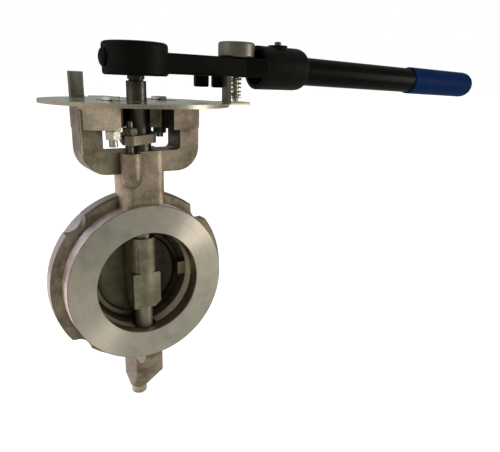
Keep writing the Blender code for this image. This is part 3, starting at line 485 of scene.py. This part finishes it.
# painted highlight: a much lighter copy of the casting on the bevel round the disc
BEVEL = cast_steel("bore_relief_highlight", (0.86, 0.70, 0.57), (0.99, 0.82, 0.68), (0.36, 0.44), 0.02, 2.0,
                   0.0, relief_stain)
TRIM = turned_steel("turned_trim", "Y", (0.52, 0.50, 0.45), 0.28)
RETAINER = turned_steel("turned_retainer", "Y", (0.13, 0.12, 0.09), 0.42)
# oil stains, and a painted shadow under the lever at the top
STEM = turned_steel("turned_stem", "Z", (0.37, 0.35, 0.27), 0.42, 0.40, pitch=0.8, relief=0.004,
                    stain=stem_stain)
KNOB = turned_steel("turned_knob", "Z", (0.22, 0.215, 0.168), 0.44, 0.3, LOCK_PIN_AXIS, 1.6)
SHEET = sheet_steel("plate_stainless", (0.66, 0.66, 0.63), 0.11)
# painted shade: a much darker copy of the plate's sheet for its upright tabs
TAB = sheet_steel("bent_tab_shaded", (0.215, 0.215, 0.175), 0.46)
EDGE = cut_edge("plate_edge")
BRIGHT = fastener_steel("bright_fastener", (0.60, 0.60, 0.56), 0.26)
DULL = fastener_steel("dull_fastener", (0.15, 0.142, 0.112), 0.34)
# the darkest fastener colour, for the gland nuts
DARKEST_FASTENER = fastener_steel("darkest_fastener", (0.085, 0.08, 0.06), 0.38)
PLUG = cast_steel("plug_cast", (0.54, 0.445, 0.37), (0.84, 0.71, 0.61))
# painted shade: a near-black copy of the casting for the window walls and the pad top under the plate
DEEP_SHADE_CAST = cast_steel("window_shade_cast", (0.075, 0.065, 0.048), (0.125, 0.107, 0.082))
PIN = fastener_steel("pin_steel", (0.50, 0.47, 0.38), 0.26)
COIL = fastener_steel("spring_steel", (0.50, 0.46, 0.34), 0.24)
LEVER = black_paint("lever_paint", (0.0040, 0.0044, 0.0032), 0.50, 0.16, 0.9, 0.07)
TUBE = black_paint("tube_paint", (0.0030, 0.0034, 0.0026), 0.33, 0.05, 1.4, 0.035)
GRIP = vinyl("grip_vinyl")
PTFE = polymer("seat_ptfe", (0.13, 0.12, 0.095), 0.46)
PACKING = polymer("packing_ptfe", (0.55, 0.53, 0.47), 0.55)
LINER = polymer("bearing_liner", (0.14, 0.12, 0.09), 0.55)


# --------------------------------------------------------------------------- pieces

MERGE_DISTANCE = 1e-6        # metres
FLAT_ANGLE = 1.0             # degrees, below which two faces count as one
REPAINT_ANGLE = 32.0         # degrees, above which an edge stays sharp


def finer(node, material, bevel, segments=2, angle=30.0, extra=()):
    """A copy of a CAD node with softened edges and smooth shading, shown in its place.

    bevel is in millimetres, angle in degrees, and extra holds more materials for paint_faces.
    """
    source = frame["nodes"][node]
    bm = bmesh.new()
    bm.from_mesh(source.data)
    bmesh.ops.remove_doubles(bm, verts=bm.verts, dist=MERGE_DISTANCE)
    bmesh.ops.dissolve_limit(bm, angle_limit=math.radians(FLAT_ANGLE), verts=bm.verts,
                             edges=bm.edges)
    mesh = bpy.data.meshes.new("fine_" + node)
    bm.to_mesh(mesh)
    bm.free()
    mesh.materials.clear()
    for item in (material, *extra):
        mesh.materials.append(item)
    for face in mesh.polygons:
        face.material_index = 0
    mesh.shade_smooth()
    mesh.set_sharp_from_angle(angle=math.radians(angle))
    obj = bpy.data.objects.new("fine_" + node, mesh)
    bpy.context.scene.collection.objects.link(obj)
    if bevel:
        mod = obj.modifiers.new("soft edges", "BEVEL")
        mod.width = bevel * MM
        mod.segments = segments
        mod.limit_method = "ANGLE"
        mod.angle_limit = math.radians(angle)
        mod.harden_normals = True
        mod.use_clamp_overlap = True
    body = source["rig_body"]
    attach(obj, body)
    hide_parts(node)
    return obj


def paint_faces(obj, index, test):
    """Give the faces that pass a test another of the object's materials."""
    for face in obj.data.polygons:
        if test(face.center / MM, face.normal):
            face.material_index = index


def repaint(node, material):
    """Give a CAD node that keeps its own shape a better material."""
    mesh = frame["nodes"][node].data
    mesh.materials.clear()
    mesh.materials.append(material)
    mesh.shade_smooth()
    mesh.set_sharp_from_angle(angle=math.radians(REPAINT_ANGLE))


# where the valve body's materials change, in millimetres
FRONT_FACE_Y = -14.5         # the front gasket face is before this
REAR_FACE_Y = 32.5           # the rear gasket face is behind this
FACE_LIMIT_R = 75.0          # both faces are inside this radius
BORE_LIMIT_R = 46.5
BORE_FRONT_Y = -14.9
BORE_HALF_Z = 50.0
RELIEF_LIMIT_R = 42.0        # the bevel round the disc is inside this radius
RELIEF_Y = (-3.2, 5.6)
RING_R = 63.5
FLANGE_R = 71.8
FLANGE_Y = (-1.5, 11.5)
TURNED_BAND = 0.7            # how far from its radius a turned face may be
TURNED_REAR_Y = 33.0
TURNED_BOTTOM_Z = -71.0
FOOT_TOP_Z = -66.0
NECK_BOTTOM_Z = 70.0
NECK_SIDE_X = (-18.0, -10.0)
NECK_SIDE_Z = (60.0, 102.0)
NECK_SIDE_HALF_Y = 12.6
ARM_LEFT_X = -40.0
ARM_BOTTOM_Z = 80.0
WINDOW_HALF_X = 33.0
WINDOW_Z = (104.0, 128.0)
NOTCH_HALF_X = 20.5
NOTCH_BOTTOM_Z = 106.0
NOTCH_FRONT_Y = -5.0
PAD_TOP_Z = 130.0
PAD_SLANT_X = -20.0
PAD_SLANT_Z = (104.0, 136.0)

# the valve body's materials, in the order that make_body gives them to it, after CAST
(ON_FACE, ON_BORE, ON_RELIEF, ON_RING_RIM, ON_SHADED, ON_LIT_SLANT, ON_DEEP_SHADE, ON_LIT_NECK,
 ON_FLANGE_RIM) = range(1, 10)

# the notch plate's materials, after SHEET
ON_EDGE = 1
ON_TAB = 2
PLATE_TOP_Z = 139.3          # faces below this, and not flat, are the plate's cut edges
TAB_BOTTOM_Z = 139.6

SEAT_LIP_R = 37.97
SEAT_LIP_REACH = 38.4        # points of the seat inside this radius are its lip


def between(value, limits):
    return limits[0] < value < limits[1]


def from_bore(centre):
    """Distance from the line of the bore, in millimetres."""
    return math.hypot(centre.x, centre.z)


def on_gasket_face(centre, normal):
    at_end = centre.y < FRONT_FACE_Y or centre.y > REAR_FACE_Y
    return abs(normal.y) > 0.99 and from_bore(centre) < FACE_LIMIT_R and at_end


def on_bore(centre, normal):
    inside = from_bore(centre) < BORE_LIMIT_R and abs(centre.z) < BORE_HALF_Z
    return inside and between(centre.y, (BORE_FRONT_Y, REAR_FACE_Y))


def on_window(centre, normal):
    """The inner walls of the window under the pad, and the top of the pad, which get painted deep
    shade.
    """
    wall = abs(normal.x) > 0.6 and abs(centre.x) < WINDOW_HALF_X and between(centre.z, WINDOW_Z)
    return wall or normal.z > 0.9 and centre.z > PAD_TOP_Z


def on_relief(centre, normal):
    """The bevel round the disc."""
    inside = from_bore(centre) < RELIEF_LIMIT_R and between(centre.y, RELIEF_Y)
    return inside and abs(normal.y) < 0.4


def turned_at(centre, normal, radius):
    far = from_bore(centre)
    outward = abs(centre.x * normal.x + centre.z * normal.z) > 0.97 * far
    on_body = centre.y < TURNED_REAR_Y and centre.z > TURNED_BOTTOM_Z
    return abs(far - radius) < TURNED_BAND and outward and on_body


def on_ring_rim(centre, normal):
    return turned_at(centre, normal, RING_R)


def on_flange_rim(centre, normal):
    return turned_at(centre, normal, FLANGE_R)


def on_shaded(centre, normal):
    """The left sides of the arm and the foot, the flange, and the notch under the pad, which get
    painted shade.
    """
    arm = centre.x < ARM_LEFT_X and centre.z > ARM_BOTTOM_Z
    arm_or_foot = normal.x < -0.8 and (arm or centre.z < FOOT_TOP_Z)
    flange = (from_bore(centre) > RING_R and centre.z < NECK_BOTTOM_Z
              and between(centre.y, FLANGE_Y))
    notch = (abs(centre.x) < NOTCH_HALF_X and centre.z > NOTCH_BOTTOM_Z
             and centre.y > NOTCH_FRONT_Y and normal.y < -0.5)
    return arm_or_foot or flange or notch


def on_lit_slant(centre, normal):
    """The slanted face at the pad's front left, which gets painted light."""
    slanted = normal.x < -0.3 and normal.y < -0.6
    return slanted and between(centre.z, PAD_SLANT_Z) and centre.x < PAD_SLANT_X


def on_neck_side(centre, normal):
    """The left side of the neck, with its rounded corner, which gets painted light."""
    beside = between(centre.x, NECK_SIDE_X) and abs(centre.y) < NECK_SIDE_HALF_Y
    return normal.x < -0.3 and between(centre.z, NECK_SIDE_Z) and beside


def on_plate_edge(centre, normal):
    return abs(normal.z) < 0.5 and centre.z < PLATE_TOP_Z


def on_plate_tab(centre, normal):
    return centre.z > TAB_BOTTOM_Z


def make_body():
    body = finer("valve_body", CAST, 0.7, 2, 32.0,
                 (FACE, CAST_BORE, BEVEL, RIM, SHADED_CAST, LIT_CAST, DEEP_SHADE_CAST, LIT_NECK_CAST,
                  FLANGE_RIM))
    # a later region paints over an earlier one
    paint_faces(body, ON_SHADED, on_shaded)
    paint_faces(body, ON_LIT_SLANT, on_lit_slant)
    paint_faces(body, ON_LIT_NECK, on_neck_side)
    paint_faces(body, ON_RING_RIM, on_ring_rim)
    paint_faces(body, ON_FLANGE_RIM, on_flange_rim)
    paint_faces(body, ON_BORE, on_bore)
    paint_faces(body, ON_DEEP_SHADE, on_window)
    paint_faces(body, ON_RELIEF, on_relief)
    paint_faces(body, ON_FACE, on_gasket_face)


def close_seat_lip(seat):
    """Bring the lip of the soft seat nearer to the disc's edge, as it lies when the valve is shut."""
    for vert in seat.data.vertices:
        far = math.hypot(vert.co.x, vert.co.z) / MM
        if far < SEAT_LIP_REACH:
            vert.co.x *= SEAT_LIP_R / far
            vert.co.z *= SEAT_LIP_R / far


def make_pieces():
    make_body()
    finer("disc", DISC, 0.8)
    plate = finer("notch_plate", SHEET, 0.3, 2, 40.0, (EDGE, TAB))
    paint_faces(plate, ON_EDGE, on_plate_edge)
    paint_faces(plate, ON_TAB, on_plate_tab)
    finer("lever_casting", LEVER, 1.0, 3)
    finer("clamp_screw", LEVER, 0.3)
    finer("gland_flange", GLAND, 0.5)
    finer("bottom_plug", PLUG, 0.5)
    finer("stem", STEM, 0.25)
    finer("lock_knob", KNOB, 0.3)
    finer("lever_tube", TUBE, 0.2)
    finer("grip_sleeve", GRIP, 0.3)
    finer("seat_retainer", RETAINER, 0.2)
    finer("gland_follower", RETAINER, 0.2)
    finer("packing_spacer", TRIM, 0.2)
    for node in ("disc_pin_1", "disc_pin_2"):
        finer(node, TRIM, 0.2)
    seat = finer("seat_ring", PTFE, 0.15)
    close_seat_lip(seat)
    for side in ("front", "rear"):
        for kind in ("plate_bolt_", "plate_nut_"):
            finer(kind + side, BRIGHT, 0.15)
        finer("gland_stud_" + side, DULL, 0.15)
        finer("gland_nut_" + side, DARKEST_FASTENER, 0.15)
    for number in range(1, 5):
        finer("retainer_screw_%d" % number, BRIGHT, 0.15)
    for node in ("socket_screw", "lever_key"):
        finer(node, DULL, 0.15)
    for node in ("lock_pin", "pin_clip"):
        finer(node, PIN, 0.15)
    spring = finer("lock_spring", COIL, 0.0)
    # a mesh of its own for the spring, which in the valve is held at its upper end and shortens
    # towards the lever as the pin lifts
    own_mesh(spring)
    for number in range(1, 4):
        repaint("packing_ring_%d" % number, PACKING)
    for node in ("upper_bearing", "lower_bearing", "thrust_pad"):
        repaint(node, LINER)


# ----------------------------------------------------------------- floor and studio

FLOOR_GAP = 0.0005           # metres between the lowest point of the valve and the floor
FLOOR_SIZE = 40.0
FLOOR_GREY = (0.85, 0.85, 0.85, 1.0)
FLOOR_GLOW = 0.80

# name, place, point it aims at, width, height, watts, colour
LIGHTS = (
    ("left_softbox", (-1.25, 0.15, 0.62), (0.0, 0.0, 0.0), 1.0, 1.0, 4.2, (1.0, 0.92, 0.92)),
    ("right_strip", (1.70, -1.09, 0.12), (0.0, 0.0, 0.03), 0.24, 1.0, 14.5, (1.0, 0.90, 0.82)),
)

# direction, cosine where it fades in, cosine where it is full, colour
ROOM_GLOWS = (
    ((-0.53, 0.72, -0.48), 0.80, 0.96, (1.00, 0.84, 0.89)),
    ((-0.85, -0.45, -0.28), 0.84, 0.98, (0.34, 0.28, 0.23)),
    ((0.75, -0.62, 0.05), 0.70, 0.97, (0.14, 0.13, 0.11)),
    ((0.50, 0.80, 0.30), 0.55, 0.97, (0.17, 0.18, 0.17)),
    ((0.0, 0.1, 1.0), 0.50, 0.95, (0.22, 0.22, 0.23)),
)

# height of the direction looked in, from -1 straight down, and the room's colour there
ROOM_HEIGHTS = (
    (-1.0, (0.56, 0.56, 0.49)),
    (-0.35, (0.54, 0.54, 0.47)),
    (-0.06, (0.25, 0.255, 0.21)),
    (0.08, (0.13, 0.133, 0.11)),
    (0.35, (0.27, 0.28, 0.27)),
)

CAMERA_PLACE = (-0.137781, -0.360471, 0.153078)
CAMERA_YAW = 0.594           # radians to the right of +Y
CAMERA_DROP = 0.311          # radians below level
CAMERA_ROLL = 0.036
CAMERA_LENS = 35.718         # millimetres
CAMERA_SENSOR = 36.0
CAMERA_SHIFT = (-0.00302, 0.03578)


def make_floor(height):
    bm = bmesh.new()
    bmesh.ops.create_grid(bm, x_segments=2, y_segments=2, size=FLOOR_SIZE)
    mesh = bpy.data.meshes.new("floor")
    bm.to_mesh(mesh)
    bm.free()
    floor = bpy.data.objects.new("floor", mesh)
    floor.location = (0.0, 0.0, height)
    floor.visible_glossy = False
    floor.visible_diffuse = False
    bpy.context.scene.collection.objects.link(floor)
    s = Shader("floor_pale")
    s.set("Base Color", FLOOR_GREY)
    s.set("Roughness", 0.9)
    s.set("Specular IOR Level", 0.0)
    s.set("Emission Color", WHITE)
    s.set("Emission Strength", FLOOR_GLOW)
    mesh.materials.append(s.mat)


def area_light(name, place, target, width, height, power, colour):
    light = bpy.data.lights.new(name, "AREA")
    light.shape = "RECTANGLE"
    light.size = width
    light.size_y = height
    light.energy = power
    light.color = colour
    obj = bpy.data.objects.new(name, light)
    obj.location = place
    aim = Vector(target) - Vector(place)
    obj.rotation_euler = aim.to_track_quat("-Z", "Y").to_euler()
    bpy.context.scene.collection.objects.link(obj)


def make_world():
    """Dim room for lighting and reflections, with a white backdrop seen by the camera."""
    world = bpy.data.worlds.new("studio")
    world.use_nodes = True
    tree = world.node_tree
    link = tree.links.new
    shade = tree.nodes["Background"]
    place = tree.nodes.new("ShaderNodeTexCoord").outputs["Generated"]
    split = tree.nodes.new("ShaderNodeSeparateXYZ")
    link(place, split.inputs[0])
    level = tree.nodes.new("ShaderNodeMapRange")
    link(split.outputs["Z"], level.inputs["Value"])
    level.inputs["From Min"].default_value = -1.0
    ramp = tree.nodes.new("ShaderNodeValToRGB")
    link(level.outputs["Result"], ramp.inputs["Fac"])
    while len(ramp.color_ramp.elements) < len(ROOM_HEIGHTS):
        ramp.color_ramp.elements.new(0.5)
    for element, (where, colour) in zip(ramp.color_ramp.elements, ROOM_HEIGHTS):
        element.position = 0.5 + 0.5 * where
        element.color = (*colour, 1.0)
    total = ramp.outputs["Color"]
    for direction, faint, full, colour in ROOM_GLOWS:
        dot = tree.nodes.new("ShaderNodeVectorMath")
        dot.operation = "DOT_PRODUCT"
        link(place, dot.inputs[0])
        dot.inputs[1].default_value = Vector(direction).normalized()
        soft = tree.nodes.new("ShaderNodeMapRange")
        soft.interpolation_type = "SMOOTHSTEP"
        link(dot.outputs["Value"], soft.inputs["Value"])
        soft.inputs["From Min"].default_value = faint
        soft.inputs["From Max"].default_value = full
        glow = tree.nodes.new("ShaderNodeMix")
        glow.data_type = "RGBA"
        glow.blend_type = "ADD"
        link(soft.outputs["Result"], glow.inputs[MIX_FAC])
        link(total, glow.inputs[MIX_A])
        glow.inputs[MIX_B].default_value = (*colour, 1.0)
        total = glow.outputs[MIX_COLOUR]
    path = tree.nodes.new("ShaderNodeLightPath")
    mix = tree.nodes.new("ShaderNodeMix")
    mix.data_type = "RGBA"
    link(path.outputs["Is Camera Ray"], mix.inputs[MIX_FAC])
    link(total, mix.inputs[MIX_A])
    mix.inputs[MIX_B].default_value = WHITE
    link(mix.outputs[MIX_COLOUR], shade.inputs["Color"])
    bpy.context.scene.world = world


def make_camera():
    """Three-quarter view from the front left, a little above the ring."""
    across = math.cos(CAMERA_DROP)
    ahead = Vector((math.sin(CAMERA_YAW) * across, math.cos(CAMERA_YAW) * across,
                    -math.sin(CAMERA_DROP)))
    right = Vector((math.cos(CAMERA_YAW), -math.sin(CAMERA_YAW), 0.0))
    up = right.cross(ahead)
    level = Matrix((right, up, -ahead)).transposed()
    turn = Matrix.Rotation(CAMERA_ROLL, 3, "Z")
    data = bpy.data.cameras.new("camera")
    data.sensor_width = CAMERA_SENSOR
    data.lens = CAMERA_LENS
    data.shift_x, data.shift_y = CAMERA_SHIFT
    camera = bpy.data.objects.new("camera", data)
    camera.matrix_world = Matrix.Translation(CAMERA_PLACE) @ (level @ turn).to_4x4()
    bpy.context.scene.collection.objects.link(camera)
    bpy.context.scene.camera = camera


make_pieces()
make_floor(cad_box[0].z - FLOOR_GAP)
for light in LIGHTS:
    area_light(*light)
make_world()
make_camera()
bpy.context.scene.view_settings.view_transform = "Standard"
